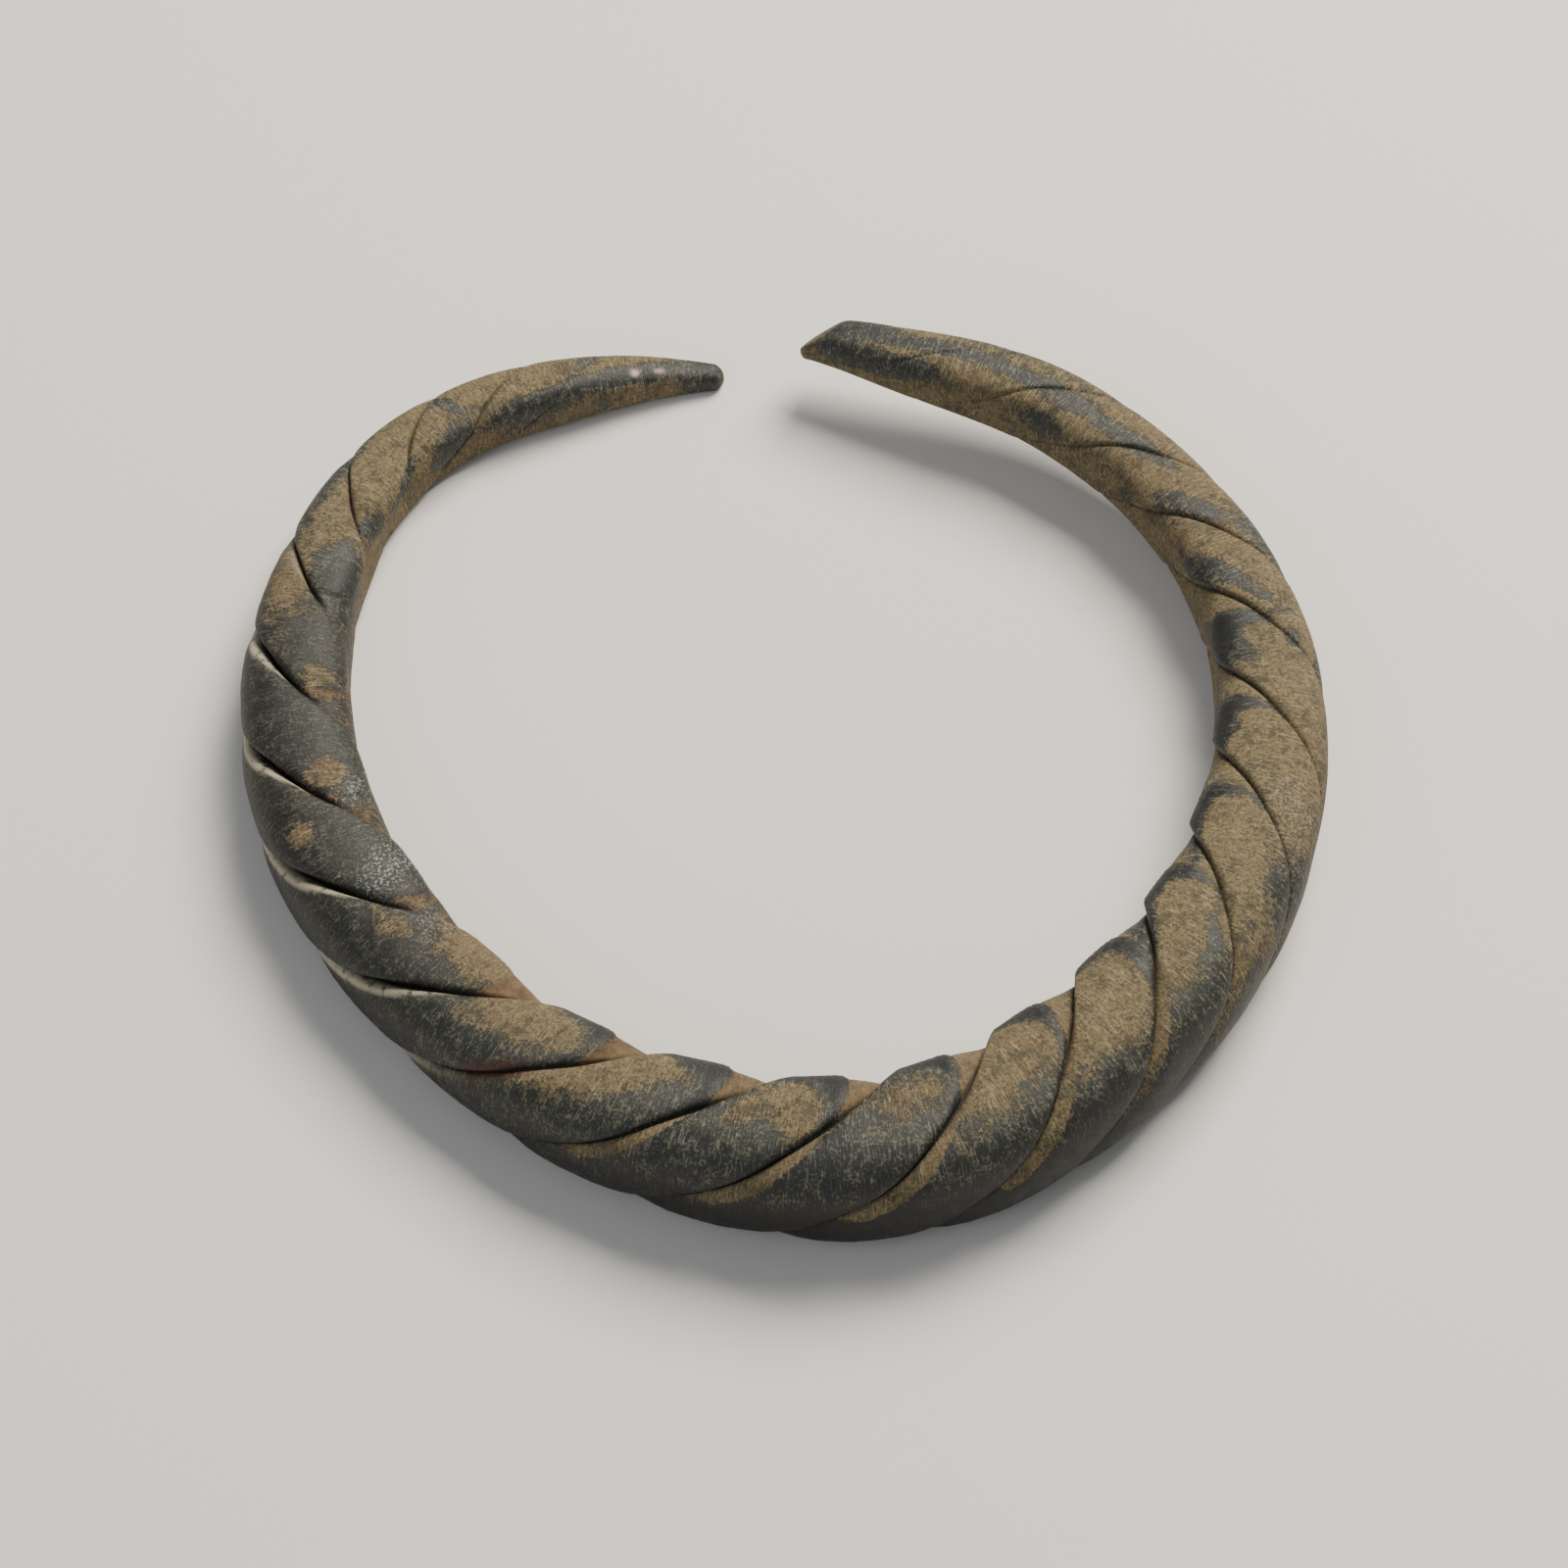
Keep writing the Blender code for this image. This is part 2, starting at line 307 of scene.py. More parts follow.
from_groove = across * spacing * STRAND_SLANT
to_groove = (1 - across) * spacing * STRAND_SLANT
near_groove = np.minimum(from_groove, to_groove)
past_ridge_length = (angle - ridge) * half
on_facet = ease(past_ridge_length / STEP_WIDTH) * ease((math.radians(128) - angle) / 0.5)
open_crack = left_arm * ease((0.15 - angle) / 0.8)
crack = np.exp(-((near_groove / (CRACK_WIDTH * (1 + OPEN_CRACK_WIDER * open_crack))) ** 2))
lip = np.exp(-((to_groove / LIP_WIDTH) ** 2)) * (1 - 0.6 * on_facet)
rim = np.exp(-(((past_ridge_length + RIM_WIDTH) / RIM_WIDTH) ** 2))
step_fade = ease(to_groove / (1.2 * MM))

direction = np.cos(angle)[..., None] * np.array([0.0, 0.0, 1.0])
direction = direction + np.sin(angle)[..., None] * inward(along)
centre = middle(along)
plain = centre + (half * plain_share)[..., None] * direction
waves = noise(plain, WAVE_SIZE, 3, octaves=2)
lumps = noise(plain, LUMP_SIZE, 11, octaves=3)
pits = np.clip(noise(plain, PIT_SIZE, 23, octaves=2) - 0.45, 0, 1)
relief = (
    -CRACK_DEPTH * crack * (1 - worn_inside) * (1 + OPEN_CRACK_DEEPER * open_crack)
    - LIP_DROP * lip * (1 - worn_inside)
    - STEP_HEIGHT * on_facet * step_fade * (1 - 0.5 * left_arm)
    + RIM_HEIGHT * rim * step_fade
    + WAVE_HEIGHT * waves
    + LUMP_HEIGHT * lumps
    - PIT_DEPTH * pits
)
relief_fade = ease(np.minimum(along, LENGTH - along) / SMOOTH_END)
points = plain + (relief * carving * relief_fade)[..., None] * direction
print("relief, mm:", (relief.min() / MM).round(2), "to", (relief.max() / MM).round(2))

# %% [markdown]
# ## Flats and the slanting end
#
# Wear has left small flats under the bar, and the right end is cut on a slant.  Both are planes:
# whatever lies beyond one is moved straight back onto it, which keeps the grid in order and the
# mesh closed.  The whole surface is then set where the solid is, by the middles of their boxes.

# %% Planes
CUT_LEAN = np.array([0.8, 0.6])  # the cut leans upwards and outwards in these shares
CUT_EDGE = 0.35 * MM


def press_flat(surface, point, normal, where, edge=0.0):
    """Move what is h beyond a plane back onto it, by (h + √(h² + edge²)) / 2: a soft edge."""
    beyond = (surface - point) @ normal
    beyond = (beyond + np.hypot(beyond, edge)) / 2 * where
    return surface - beyond[..., None] * normal


tip = middle(np.array(LENGTH))
before_tip = middle(np.array(LENGTH - 2 * CUT_BACK))
forward = (tip - before_tip) / np.linalg.norm(tip - before_tip)
cut_side = CUT_LEAN[0] * np.array([0.0, 0.0, 1.0]) - CUT_LEAN[1] * inward(np.array(LENGTH))
cut_normal = math.sin(CUT_SLOPE) * forward + math.cos(CUT_SLOPE) * cut_side
cut_normal = cut_normal / np.linalg.norm(cut_normal)
cut_point = tip - CUT_BACK * forward + half_thickness(np.array(LENGTH - CUT_BACK)) * cut_side
near_tip = ease((along - LENGTH + 4 * CUT_BACK) / (2 * CUT_BACK))


def trimmed(surface):
    """The surface with its slanting end and its worn flats."""
    cut = press_flat(surface, cut_point, cut_normal, near_tip, CUT_EDGE)
    return press_flat(cut, np.zeros(3), np.array([0.0, 0.0, -1.0]), 1.0)


def box_middle(surface):
    """The middle of the outline and the lowest height."""
    low, high = surface.min(axis=(0, 1)), surface.max(axis=(0, 1))
    return np.array([(low[0] + high[0]) / 2, (low[1] + high[1]) / 2, low[2]])


solid_low, solid_high = (np.array(corner) for corner in SOLID_BOX)
solid_middle = np.array([*((solid_low + solid_high) / 2)[:2], solid_low[2]])
shift = solid_middle - box_middle(trimmed(plain))
on_cut = np.clip((points - cut_point) @ cut_normal, 0, None) * near_tip > 0
points = trimmed(points) + shift
print("moved onto the solid by, mm:", (shift / MM).round(3))

# %% [markdown]
# ## Where soil, patina and wear lie
#
# A painter would work from the object: soil is thick on the right arm and in every hollow, the
# left arm is nearly bare, and rims and corners are rubbed dark.  The same thoughts are written
# here as formulas of the place along the bar, the angle round it and the distance to a groove.
# Each becomes a named value on the mesh's points, which the material reads.

# %% Soil stations and spots
# How likely soil is, from -1 for bare metal to 1 for thick soil, at shares of the bar's length.
SOIL_ALONG = (
    (0.00, 0.30), (0.03, 0.50), (0.10, 0.55), (0.165, 0.50), (0.19, 0.05), (0.23, -0.45),
    (0.34, -0.50), (0.41, -0.40), (0.48, -0.55), (0.53, -0.55), (0.58, -0.10), (0.63, 0.45),
    (0.72, 0.68), (0.84, 0.62), (0.94, 0.50), (1.00, 0.30),
)
# How much soil prefers the top of the bar to its outer side; the barer, darker outer side is partly
# painted shade.
SOIL_AND_SHADE_SLOPE = ((0.00, 0.05), (0.35, 0.15), (0.47, 0.45), (0.60, 0.85), (0.72, 0.30), (1.00, 0.10))
# Spots that stand out: share of the length, degrees round the bar from the top towards the
# middle of the ring, millimetres along and across the spot, its slant in degrees, and how much
# soil it has more, or less, than the metal round it.
SOIL_SPOTS = (
    # the left end: a dark tip and a dark band that follows the bar
    (0.005, 20, 2.0, 9.0, 0, -1.3), (0.030, 22, 3.5, 0.9, 5, -1.3), (0.055, 36, 4.0, 0.9, 8, -1.3),
    (0.080, 50, 2.8, 0.8, 12, -1.2), (0.048, -25, 1.2, 0.5, 40, -0.9), (0.045, 88, 0.5, 1.0, 0, -0.8),
    (0.075, 85, 3.0, 1.3, 15, -0.7), (0.108, 62, 2.6, 1.3, 20, -1.4), (0.100, -5, 0.6, 2.0, 30, -0.8),
    (0.140, -60, 4.5, 1.6, 10, -1.4), (0.137, 62, 3.4, 0.8, 20, -1.3), (0.160, 52, 1.6, 0.9, -30, -1.1),
    (0.165, -60, 2.0, 1.5, 0, -1.2), (0.192, 38, 3.6, 2.4, 10, -1.2),
    # the left arm: dark, with small islands of soil
    (0.200, -15, 4.0, 2.2, 0, 0.45), (0.238, 20, 1.3, 1.3, 0, 0.8), (0.280, 18, 1.7, 1.4, 0, 0.95),
    (0.281, -8, 1.0, 0.9, 0, 0.7), (0.298, -30, 1.1, 1.1, 0, 0.95), (0.345, -5, 2.2, 1.2, 20, 0.5),
    (0.372, 42, 4.2, 2.8, 15, 1.05), (0.392, -5, 3.6, 1.4, 30, 0.5), (0.408, 25, 5.2, 3.0, 25, 0.95),
    # the front: soil on the upper half of each strand
    (0.442, 22, 5.6, 2.6, 35, 1.0), (0.424, -25, 2.5, 1.5, 35, 0.4), (0.459, 45, 1.3, 1.5, 60, -1.2),
    (0.487, 12, 4.0, 1.6, 35, 0.75), (0.500, -6, 2.4, 1.4, 50, 0.9), (0.535, 12, 3.0, 1.8, 35, 0.45),
    (0.565, 20, 4.0, 2.4, 35, 1.1), (0.555, -25, 5.0, 2.0, 45, 0.45), (0.545, -45, 2.4, 1.4, 35, 0.35),
    (0.605, 5, 6.0, 3.0, 35, 0.6), (0.588, -62, 4.0, 2.0, 35, -0.9), (0.618, -75, 6.0, 2.4, 20, -0.9),
    # the right arm: soil, with dark bands on the inner edge and dark spots outside
    (0.645, 38, 5.0, 1.3, 35, -1.5), (0.688, 44, 4.0, 1.0, 25, -0.8), (0.743, 46, 3.0, 1.2, 25, -0.8),
    (0.778, 42, 3.6, 1.2, 35, -1.4), (0.808, 25, 3.6, 0.9, 40, -1.4), (0.838, 10, 3.4, 0.9, 35, -1.3),
    (0.775, -30, 0.9, 0.7, 0, -1.2), (0.765, -78, 2.2, 1.2, 30, -1.3), (0.788, -12, 2.4, 1.6, 20, -0.6),
    (0.816, -55, 3.5, 1.2, 30, -1.0), (0.730, -95, 2.6, 1.4, 30, -1.3), (0.683, -62, 2.2, 2.4, 30, -1.2),
    (0.650, -24, 3.0, 0.5, 35, -1.0),
    # the right end: dark bands along the top and along the inner edge
    (0.870, 2, 3.6, 0.8, 10, -1.3), (0.900, 5, 4.0, 0.8, 0, -1.3), (0.930, 0, 4.0, 0.8, -5, -1.3),
    (0.962, -3, 4.0, 0.8, 0, -1.3), (0.985, -25, 3.0, 1.0, 0, -1.4), (0.965, 55, 4.5, 1.0, 8, -1.3),
    (0.985, 38, 2.4, 1.4, 0, -0.9), (0.905, 62, 2.2, 1.0, 0, -1.1), (0.860, 72, 1.0, 0.9, 0, -1.0),
    (0.910, -38, 6.0, 1.2, 0, -0.5),
)
# Painted highlights: bright glints where the bare metal catches the lamp, in the same columns as the
# spots above.
PAINTED_GLINT_SPOTS = (
    (0.322, 34, 4.0, 1.8, -60, 1.0), (0.287, 40, 2.6, 1.2, -60, 0.7), (0.350, 25, 2.2, 1.2, -30, 0.6),
    (0.714, 50, 0.8, 0.8, 0, 1.0), (0.705, -35, 3.0, 2.0, 30, 0.4),
)
RUST_SPOTS = ((0.402, -44, 3.0, 0.7, 35, 1.0),)
SPECKS = ((0.032, 22, 0.35, 0.30, 0, 1.0), (0.023, 18, 0.40, 0.22, 0, 0.7))


def spots(table):
    """The sum of amount * exp(-q^1.5), where q = (u/a)² + (v/b)² and u, v lie along each spot."""
    total = np.zeros_like(along)
    for place, degrees, long_side, short_side, slant, amount in table:
        run = (along - place * LENGTH) / MM
        round_it = (angle - math.radians(degrees)) * half / MM
        turn = math.radians(slant)
        u = run * math.cos(turn) + round_it * math.sin(turn)
        v = round_it * math.cos(turn) - run * math.sin(turn)
        total += amount * np.exp(-(((u / long_side) ** 2 + (v / short_side) ** 2) ** 1.5))
    return total


print("spots of soil or bare metal:", len(SOIL_SPOTS))

# %% [markdown]
# ## From places to one soil value
#
# The stations give the slow change along the bar, and the slope takes soil off the outer side, which also
# paints shade there.
# At the front the bevels hold a strip of soil.  The facets beyond the leaf tips are filled with
# it, and the inner edge of each strand is rubbed bare.  The spots come last, so that they win.

# %% Soil value
SPOT_STRENGTH = 1.15
STRIP_SOIL = 2.3
RUBBED_BARE = 2.0
CUT_SOIL = 0.9
RUBBED_WIDTH = 0.75 * MM
tilt = np.clip((angle + math.radians(8)) / math.radians(50), -1.1, 0.5)
soil_and_shade = smooth_curve(SOIL_ALONG, share) + smooth_curve(SOIL_AND_SHADE_SLOPE, share) * tilt
# partly painted shade: the lowest outer side is made barer and so darker
soil_and_shade = soil_and_shade - 0.35 * ease((-angle - math.radians(70)) / 0.5)
front = np.exp(-(((share - 0.53) / 0.11) ** 2))
strip = ease((bevel_width - across) / 0.08) * ease((-angle + 0.1) / 0.6) * (across > 0.02)
strip = strip * ease((angle + math.radians(104)) / math.radians(24))
soil_and_shade = soil_and_shade + STRIP_SOIL * strip * front
edge_band = np.exp(-(((past_ridge_length + RUBBED_WIDTH) / RUBBED_WIDTH) ** 2))
edge_wear = edge_band * ease((share - 0.37) / 0.06) * ease((0.83 - share) / 0.05)
edge_wear = edge_wear * (1 - on_facet) * (1 - 0.5 * ease((across - 0.6) / 0.3))
facet_soil = 0.55 + 0.35 * front - 0.5 * left_arm
soil_and_shade = soil_and_shade + (facet_soil - soil_and_shade) * on_facet * carving * 0.8
soil_and_shade = soil_and_shade + SPOT_STRENGTH * spots(SOIL_SPOTS) - RUBBED_BARE * edge_wear + CUT_SOIL * on_cut
# painted shade: the edge of each strand next to its groove, on the outer side, is made bare and dark
lip_shade = np.exp(-((to_groove / (0.5 * MM)) ** 2)) * outer_side
soil_and_shade = soil_and_shade - 0.9 * lip_shade * (1 - on_facet) * (1 - 0.6 * right_arm)
print("mean soil value:", round(float(soil_and_shade.mean()), 2))

# %% [markdown]
# ## Crack shade, pale strips and the shaded low rim
#
# A crack is dark because no light gets into it, and that is too small for the mesh alone, so that shade
# is painted.  Next to the open cracks of the left arm the bevel is a pale strip of lime.  The lowest rim
# at the front, and the left arm, are darker and smoother than the rest; on the rim the dark is painted
# shade.

# %% Crack shade, strips and rim shade
DARK_LINE = 0.10 * MM
RIDGE_LINE = 0.22 * MM
PALE_START, PALE_SOFTNESS, PALE_END_SOFTNESS = 0.16 * MM, 0.12 * MM, 0.3 * MM
LEFT_ARM_DARKER = 0.42
ridge_line = np.exp(-((past_ridge_length / RIDGE_LINE) ** 2)) * step_fade
line_width = DARK_LINE * (1 + OPEN_CRACK_WIDER * open_crack)
crack_shade = np.exp(-((near_groove / line_width) ** 2)) * (1 - 0.6 * worn_inside)
# painted shade also on the step just beyond each leaf tip's ridge
crack_shade = np.clip(crack_shade + 0.6 * ridge_line * ease((share - 0.37) / 0.06), 0, 1)
crack_shade = crack_shade * np.clip(1.3 * carving - 0.25, 0, 1)
strip_width = (0.25 + 1.1 * outer_side) * MM
pale_edge = ease((from_groove - PALE_START) / PALE_SOFTNESS)
pale_edge = pale_edge * ease((strip_width - from_groove) / PALE_END_SOFTNESS)
pale_edge = pale_edge * ease((0.3 - angle) / 0.6) * left_arm
# painted shade: the lowest rim at the front faces away from the lamp; the left arm is darkened too
low_rim_shade_and_left_darkening = ease((-angle - math.radians(58)) / math.radians(24)) * front
low_rim_shade_and_left_darkening = np.maximum(low_rim_shade_and_left_darkening, LEFT_ARM_DARKER * left_arm)
print("points in a crack:", int((crack_shade > 0.5).sum()))

# %% [markdown]
# ## The mesh
#
# Each row of points is joined to the next by four-sided faces, wrapping round from the last line
# to the first, and a fan of triangles closes each end round one point in its middle.  The order
# of the corners decides which way a face looks, so it is checked by the volume: it is positive
# only if the faces look outwards.

# %% Mesh
rows, lines = along.shape
index = np.arange(rows * lines).reshape(rows, lines)
next_line = np.roll(index, -1, axis=1)
quads = np.stack([index[:-1], next_line[:-1], next_line[1:], index[1:]], axis=-1).reshape(-1, 4)
first_cap = np.stack([next_line[0], index[0], np.full(lines, rows * lines)], axis=-1)
last_cap = np.stack([index[-1], next_line[-1], np.full(lines, rows * lines + 1)], axis=-1)
caps = np.concatenate([first_cap, last_cap])
places = np.concatenate([points.reshape(-1, 3), points[[0, -1]].mean(axis=1)])

corners_of = np.concatenate([quads.ravel(), caps.ravel()])
sizes = np.concatenate([np.full(len(quads), 4), np.full(len(caps), 3)])
starts = np.concatenate([[0], np.cumsum(sizes)[:-1]])
triangles = np.concatenate([quads[:, [0, 1, 2]], quads[:, [0, 2, 3]], caps])
a, b, c = (places[triangles[:, i]] for i in range(3))
volume = np.einsum("ij,ij->i", a, np.cross(b, c)).sum() / 6
if volume < 0:
    corners_of = corners_of[::-1]
    sizes = sizes[::-1]
    starts = np.concatenate([[0], np.cumsum(sizes)[:-1]])
print("volume, cubic cm:", round(abs(volume) * 1e6, 2), "triangles:", len(triangles))

mesh = bpy.data.meshes.new("bangle_surface")
mesh.vertices.add(len(places))
mesh.vertices.foreach_set("co", places.astype(np.float32).ravel())
mesh.loops.add(len(corners_of))
mesh.loops.foreach_set("vertex_index", corners_of.astype(np.int32))
mesh.polygons.add(len(sizes))
mesh.polygons.foreach_set("loop_start", starts.astype(np.int32))
mesh.update(calc_edges=True)
mesh.validate()
mesh.shade_smooth()
bangle = bpy.data.objects.new("bangle_surface", mesh)
bpy.context.scene.collection.objects.link(bangle)


def keep_on_points(name, values):
    """Store one number for each point of the grid, and the ends' mean at the two cap points."""
    ends = [values[0].mean(), values[-1].mean()]
    stored = mesh.attributes.new(name, "FLOAT", "POINT")
    stored.data.foreach_set("value", np.concatenate([values.ravel(), ends]).astype(np.float32))


# Each value's strength is in it, so that the material can use it as it is.
keep_on_points("soil_and_shade", soil_and_shade)
# the value named crack holds the painted shade of the grooves and steps
keep_on_points("crack", 0.92 * crack_shade)
keep_on_points("warm_facet", 0.85 * on_facet * np.exp(-(((share - 0.38) / 0.17) ** 2)))
keep_on_points("pale", pale_edge)
keep_on_points("rim", 0.65 * edge_wear)
# the value named low holds the painted shade of the low rim, with the left arm darkened
keep_on_points("low", 0.9 * low_rim_shade_and_left_darkening)
keep_on_points("painted_glint", spots(PAINTED_GLINT_SPOTS))
keep_on_points("rust", 0.8 * spots(RUST_SPOTS))
keep_on_points("speck", spots(SPECKS))
keep_on_points("cut", 0.5 * on_cut)
keep_on_points("along", along / MM)
keep_on_points("outward", np.sin(angle) * half / MM)
print("values on the points:", [stored.name for stored in mesh.attributes if stored.data_type == "FLOAT"])

# %% [markdown]
# ## The finish
#
# Buried bronze grows a skin of tin and copper compounds: here it is dark grey with a green cast,
# smooth enough to shine dully.  Soil bound by lime covers it in buff patches with ragged edges.
# One material does both, because the two meet in ragged edges all over the bar: it mixes the two
# looks by a mask, which starts from the soil value of the mesh.

# %% Material helpers
def linear(hex_colour):
    """An sRGB hex colour as linear red, green, blue and alpha."""
    levels = np.array([int(hex_colour[i : i + 2], 16) for i in (1, 3, 5)]) / 255
    curve = np.where(levels <= 0.04045, levels / 12.92, ((levels + 0.055) / 1.055) ** 2.4)
    return (*curve, 1.0)


# Bronze that lay in soil: a dull, dark, slightly green skin under a dry, chalky cover.
finish = bpy.data.materials.new("buried_bronze_patina_and_soil")
finish.use_nodes = True
tree = finish.node_tree
shader = tree.nodes["Principled BSDF"]
SMOOTH = {"interpolation_type": "SMOOTHSTEP"}


def node(kind, inputs, output=0, **settings):
    """Add a node: its settings, then its inputs, each a value or a socket; give one output."""
    made = tree.nodes.new(kind)
    for name, value in settings.items():
        setattr(made, name, value)
    for socket, value in inputs.items():
        if isinstance(value, bpy.types.NodeSocket):
            tree.links.new(value, made.inputs[socket])
        else:
            made.inputs[socket].default_value = value
    return made.outputs[output]


KEPT_VALUES = ("soil_and_shade", "crack", "warm_facet", "pale", "rim", "low", "painted_glint", "rust", "speck", "cut",
               "along", "outward")
on_mesh = {}
for name in KEPT_VALUES:
    on_mesh[name] = node("ShaderNodeAttribute", {}, "Fac", attribute_name=name)
print("values that the material reads:", len(on_mesh))

# %% [markdown]
# ## Patterns of grit, soil and scratches
#
# Five patterns of noise have the sizes of real things, from a grain of soil to the width of the
# bar.  The hair scratches run across the bar, because it was rubbed and worn that way.  So they
# read the place along the bar, the place across it and the height, and are squeezed along it.

# %% Patterns
SCRATCH_WIDTH = 0.10   # in millimetres along the bar
SCRATCH_LENGTH = 1.1   # in millimetres across it
# Each pattern's lump size in millimetres, its detail, its roughness and its distortion.
PATTERN_SIZES = {
    "tints": (6.0, 3.0, 0.50, 0.0),     # slow changes in the soil's colour
    "blotches": (3.4, 5.0, 0.62, 0.4),  # the patches of soil
    "stains": (1.7, 6.0, 0.75, 0.0),    # dark stains in the soil
    "mottle": (0.9, 5.0, 0.65, 0.0),    # clouds in the patina
    "grit": (0.22, 3.0, 0.70, 0.0),     # grains, a little coarser than real ones, so that they show
}
object_place = node("ShaderNodeTexCoord", {}, "Object")
pattern = {}
for name, (size, detail, roughness, distortion) in PATTERN_SIZES.items():
    pattern[name] = node("ShaderNodeTexNoise", {
        "Vector": object_place, "Scale": 1 / (size * MM), "Detail": detail,
        "Roughness": roughness, "Distortion": distortion,
    }, "Fac")

height = node("ShaderNodeSeparateXYZ", {0: object_place}, "Z")
scratch_place = {}
for axis, (distance, size) in enumerate((
    (on_mesh["along"], SCRATCH_WIDTH), (on_mesh["outward"], SCRATCH_LENGTH),
    (height, SCRATCH_LENGTH * MM),
)):
    scratch_place[axis] = node("ShaderNodeMath", {0: distance, 1: size}, operation="DIVIDE")
pattern["scratches"] = node("ShaderNodeTexNoise", {
    "Vector": node("ShaderNodeCombineXYZ", scratch_place),
    "Scale": 1.0, "Detail": 2.0, "Roughness": 0.7,
}, "Fac")
print("patterns:", sorted(pattern))

# %% [markdown]
# ## The edge of the soil
#
# The soil value of the mesh is smooth, and real soil breaks off in ragged patches.  So each
# pattern pushes the value up and down, and the soil lies where the sum is above a limit.

# %% Edge of the soil
RAGGED = {"blotches": 1.7, "mottle": 1.9, "scratches": 0.8, "grit": 1.2}
BARE_BELOW, COVERED_ABOVE = -0.26, 0.40
soil_here = node("ShaderNodeMath", {0: on_mesh["soil_and_shade"], 1: -sum(RAGGED.values()) / 2}, operation="ADD")
for name, strength in RAGGED.items():
    soil_here = node("ShaderNodeMath", {0: pattern[name], 1: strength, 2: soil_here},
                     operation="MULTIPLY_ADD")
soil_cover = node("ShaderNodeMapRange", {0: soil_here, 1: BARE_BELOW, 2: COVERED_ABOVE}, **SMOOTH)
print("soil moves by up to:", sum(RAGGED.values()) / 2)

# %% [markdown]
# ## Colours in layers
#
# The finish is built up as a painter would: a base, then one thin layer after another.  Each
# layer is a factor, which says where it lies and how strongly, and a colour.  Most factors are a
# pattern between two limits, times a strength; the others are a value of the mesh.

# %% Colours
def layered(colour, layers):
    """Lay each (factor, over) on the colour in turn: colour + factor * (over - colour)."""
    for factor, over in layers:
        colour = node("ShaderNodeMix", {0: factor, 6: colour, 7: over}, 2, data_type="RGBA")
    return colour


mottle, scratches, grit = (pattern[name] for name in ("mottle", "scratches", "grit"))
flecks = node("ShaderNodeMath", {0: mottle, 1: 0.6, 2: grit}, operation="MULTIPLY_ADD")
bare = layered(linear("#131410"), (
    # clouds, and a green cast in them
    (node("ShaderNodeMapRange", {0: mottle, 1: 0.36, 2: 0.66}, **SMOOTH), linear("#2A2C25")),
    (node("ShaderNodeMapRange", {0: pattern["blotches"], 1: 0.66, 2: 0.40}, **SMOOTH),
     linear("#252822")),
    # grains of soil left in the pits, and hair scratches
    (node("ShaderNodeMapRange", {0: flecks, 1: 0.81, 2: 0.97, 4: 0.60}, **SMOOTH), linear("#6E6A58")),
    (node("ShaderNodeMapRange", {0: scratches, 1: 0.55, 2: 0.70, 4: 0.45}, **SMOOTH),
     linear("#8C8A7A")),
    # rubbed edges, polished spots, painted shade on the low rim at the front and a darker left arm
    (on_mesh["rim"], linear("#14171A")),
    (node("ShaderNodeMapRange", {0: soil_here, 1: -0.45, 2: -1.30, 4: 0.60}, **SMOOTH),
     linear("#121314")),
    (on_mesh["low"], linear("#0C0A08")),
))
facet_earth = layered(linear("#4A3821"), (
    (node("ShaderNodeMapRange", {0: mottle, 1: 0.35, 2: 0.65}, **SMOOTH), linear("#6C553A")),
))
earth = layered(linear("#473D2A"), (
    # grains, clouds, stains and tints
    (node("ShaderNodeMapRange", {0: grit, 1: 0.34, 2: 0.68}, **SMOOTH), linear("#7E6E4E")),
    (node("ShaderNodeMapRange", {0: mottle, 1: 0.42, 2: 0.62, 4: 0.5}, **SMOOTH), linear("#5A4F37")),
    (node("ShaderNodeMapRange", {0: pattern["stains"], 1: 0.50, 2: 0.60, 4: 0.65}, **SMOOTH),
     linear("#302F24")),
    (node("ShaderNodeMapRange", {0: pattern["tints"], 1: 0.50, 2: 0.64, 4: 0.22}, **SMOOTH),
     linear("#5E4837")),
    # scratches that laid fresh soil open, and the redder soil of the facets
    (node("ShaderNodeMapRange", {0: scratches, 1: 0.54, 2: 0.70, 4: 0.50}, **SMOOTH),
     linear("#A09371")),
    (on_mesh["warm_facet"], facet_earth),
))
skin = layered(bare, (
    (node("ShaderNodeMath", {0: soil_cover, 1: 0.93}, operation="MULTIPLY"), earth),
    (on_mesh["cut"], linear("#4A3D2B")),
    # pale lime beside the open cracks, painted highlights as glints on the arms, a rusty edge and two
    # pale specks
    (node("ShaderNodeMapRange", {0: mottle, 1: 0.32, 2: 0.50, 4: on_mesh["pale"]}, **SMOOTH),
     linear("#A59E88")),
    (node("ShaderNodeMapRange", {0: grit, 1: 0.50, 2: 0.66, 4: on_mesh["painted_glint"]}, **SMOOTH),
     linear("#8F938A")),
    (on_mesh["rust"], linear("#43200F")),
    (on_mesh["speck"], linear("#B09A8E")),
    # painted shade in the cracks and on the step at each leaf tip, broken here and there by soil
    (node("ShaderNodeMapRange", {0: mottle, 1: 0.30, 2: 0.50, 4: on_mesh["crack"]}, **SMOOTH),
     linear("#090807")),
))
tree.links.new(skin, shader.inputs["Base Color"])
print("nodes so far:", len(tree.nodes))

# %% [markdown]
# ## Gloss and fine relief
#
# Bare patina has a dull sheen and is still a little metallic; dried soil is neither.  The fine
# relief is the same patterns as a height, so that light catches each grain and scratch.

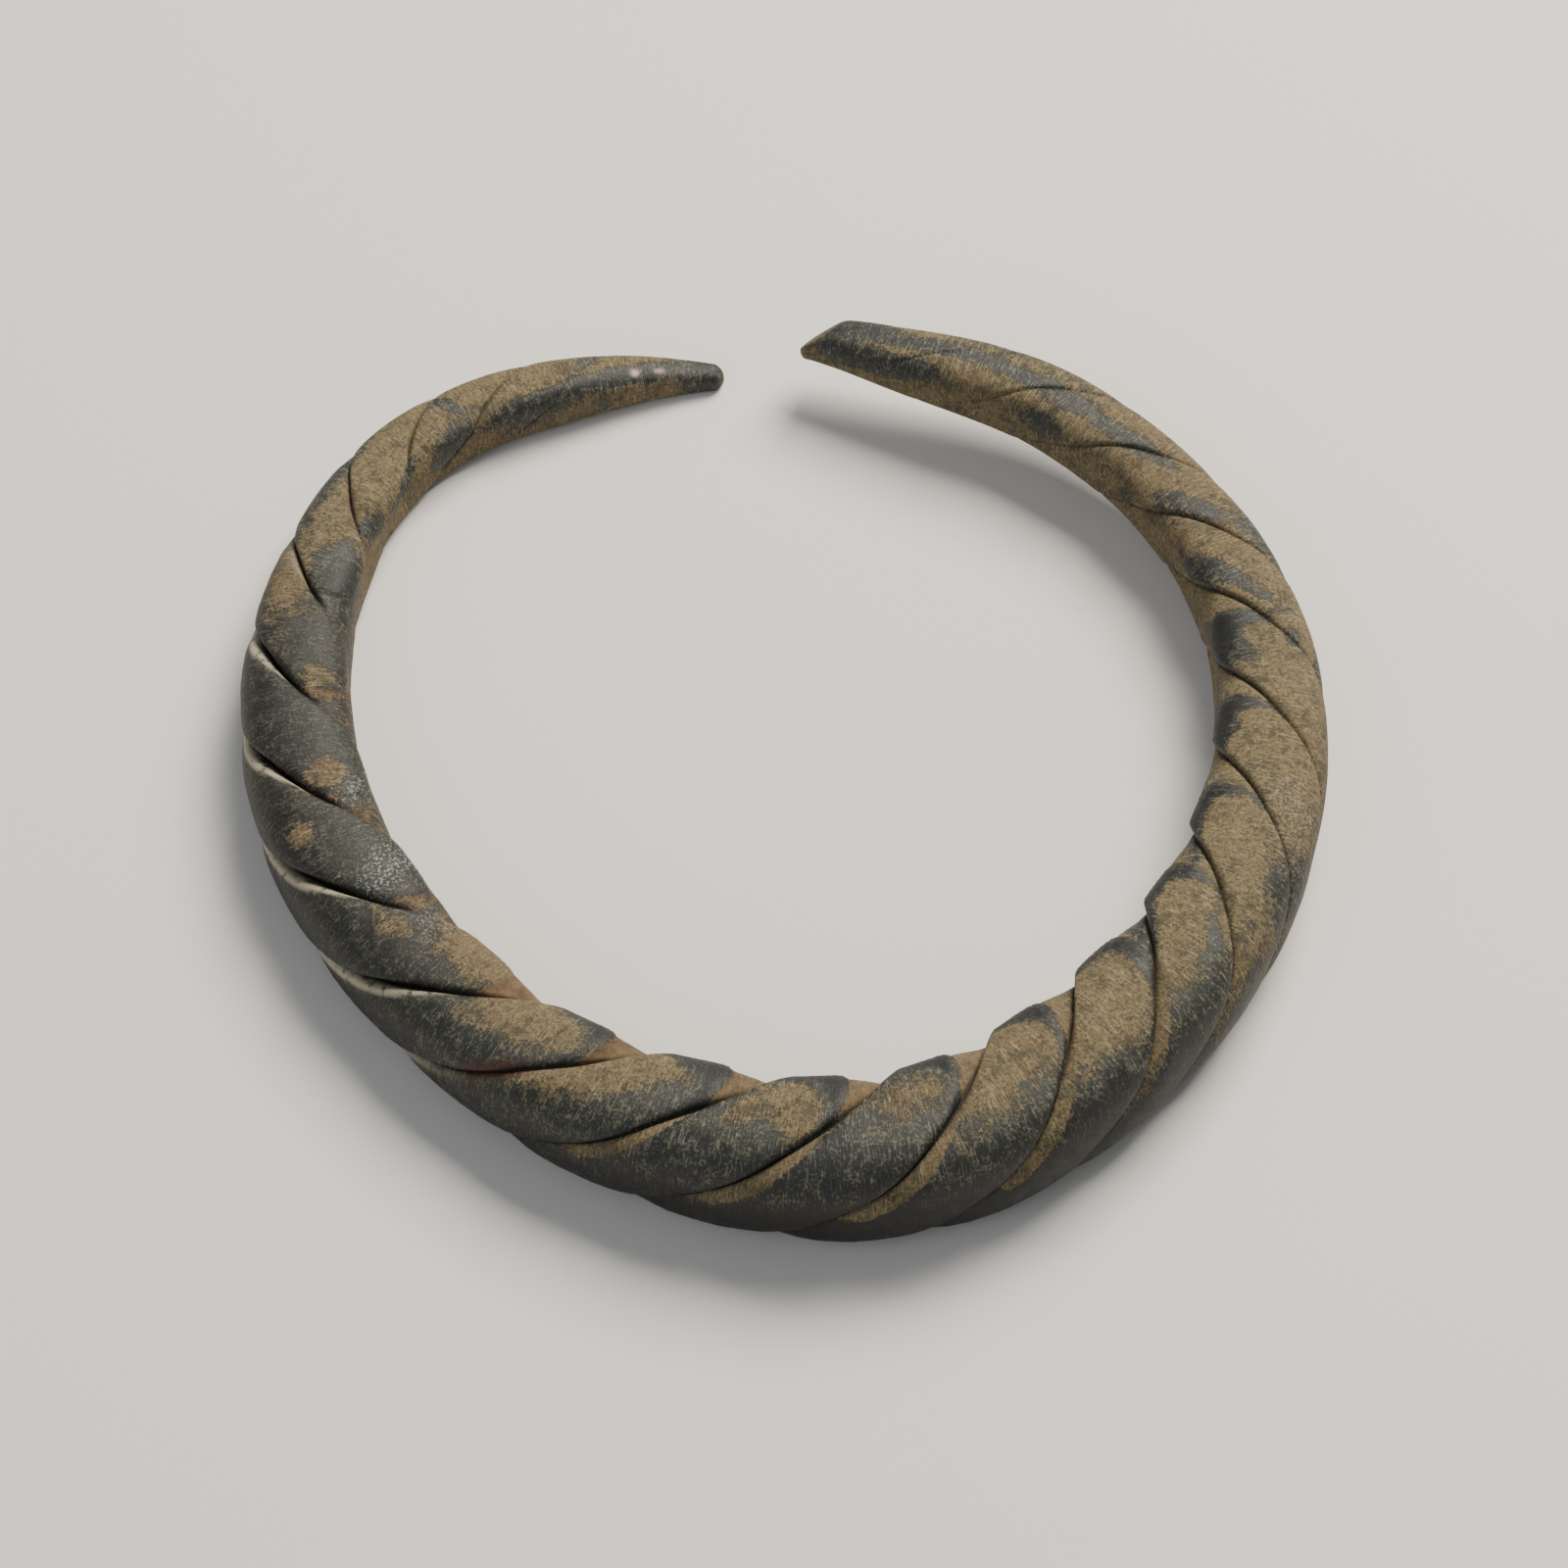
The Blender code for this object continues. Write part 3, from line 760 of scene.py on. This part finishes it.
# %% Gloss and bump
SOIL_ROUGHNESS = 0.9
BUMP_DEPTH = 0.12 * MM
BUMP_SHARES = ((grit, 0.4), (scratches, 0.45), (mottle, 0.6), (soil_cover, 0.5))
bare_roughness = node("ShaderNodeMapRange", {0: mottle, 1: 0.3, 2: 0.7, 3: 0.52, 4: 0.72})
roughness = node("ShaderNodeMix", {0: soil_cover, 2: bare_roughness, 3: SOIL_ROUGHNESS},
                 data_type="FLOAT")
tree.links.new(roughness, shader.inputs["Roughness"])
metal = node("ShaderNodeMapRange", {0: soil_cover, 1: 0.0, 2: 1.0, 3: 0.15, 4: 0.0})
tree.links.new(metal, shader.inputs["Metallic"])
bump_height = 0.0
for part_of_height, weight in BUMP_SHARES:
    bump_height = node("ShaderNodeMath", {0: part_of_height, 1: weight, 2: bump_height},
                       operation="MULTIPLY_ADD")
bump = node("ShaderNodeBump", {"Height": bump_height, "Strength": 0.6, "Distance": BUMP_DEPTH})
tree.links.new(bump, shader.inputs["Normal"])
mesh.materials.append(finish)
print("nodes in the finish:", len(tree.nodes))

# %% Place of the piece
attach(bangle, "root")
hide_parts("bangle")
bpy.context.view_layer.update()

# %% [markdown]
# ## Floor and light
#
# The bangle lies on a pale table.  One large soft lamp stands behind it on the right and high up,
# so shadows fall to the front left, and a weak one in front keeps the near side readable.

# %% Stage
def plain_material(name, colour, roughness):
    """A one-colour surface for what isn't part of the object."""
    made = bpy.data.materials.new(name)
    made.use_nodes = True
    surface = made.node_tree.nodes["Principled BSDF"]
    surface.inputs["Base Color"].default_value = colour
    surface.inputs["Roughness"].default_value = roughness
    return made


FLOOR_SIDE = 3.0
FLOOR_GAP = 0.02 * MM  # so that the worn flats and the table top aren't one and the same plane
floor_mesh = bpy.data.meshes.new("table_top")
floor_side = FLOOR_SIDE / 2
floor_points = [(-floor_side, -floor_side, -FLOOR_GAP), (floor_side, -floor_side, -FLOOR_GAP),
                (floor_side, floor_side, -FLOOR_GAP), (-floor_side, floor_side, -FLOOR_GAP)]
floor_mesh.from_pydata(floor_points, [], [(0, 1, 2, 3)])
floor_mesh.materials.append(plain_material("matt_pale_board", linear("#D9D7D2"), 0.75))
floor = bpy.data.objects.new("table_top", floor_mesh)
bpy.context.scene.collection.objects.link(floor)


def soft_lamp(name, place, aim, side, watts, colour):
    """A square area lamp at one place, turned to face another."""
    lamp = bpy.data.lights.new(name, "AREA")
    lamp.shape = "SQUARE"
    lamp.size = side
    lamp.energy = watts
    lamp.color = linear(colour)[:3]
    made = bpy.data.objects.new(name, lamp)
    made.location = place
    made.rotation_euler = (Vector(aim) - Vector(place)).to_track_quat("-Z", "Y").to_euler()
    bpy.context.scene.collection.objects.link(made)
    return made


# A warm key, and a weaker and cooler fill: place and side in metres, power in watts.
soft_lamp("key_lamp", (0.25, 0.35, 0.55), (0, 0, 0), 0.40, 10.5, "#FFF8EC")
soft_lamp("fill_lamp", (-0.35, -0.45, 0.50), (0, 0, 0), 0.60, 1.5, "#F2F6FF")
world = bpy.data.worlds.new("studio")
world.use_nodes = True
world.node_tree.nodes["Background"].inputs["Color"].default_value = linear("#E8EAEC")
world.node_tree.nodes["Background"].inputs["Strength"].default_value = 0.30
bpy.context.scene.world = world

# %% [markdown]
# ## The camera
#
# The camera stands where the photographer stood: steeply above the front, with a long lens, so
# that the ring is hardly narrower at the back than at the front.

# %% Camera
CAMERA_HEIGHT_ANGLE = math.radians(56)
CAMERA_DISTANCE = 0.420
CAMERA_AIM = Vector((0.16 * MM, 0.62 * MM, 0))
camera_data = bpy.data.cameras.new("camera")
camera_data.sensor_width = 36.0
camera_data.lens = 130.6
camera = bpy.data.objects.new("camera", camera_data)
back = Vector((0, -math.cos(CAMERA_HEIGHT_ANGLE), math.sin(CAMERA_HEIGHT_ANGLE)))
camera.location = CAMERA_AIM + CAMERA_DISTANCE * back
camera.rotation_euler = (-back).to_track_quat("-Z", "Y").to_euler()
bpy.context.scene.collection.objects.link(camera)
bpy.context.scene.camera = camera
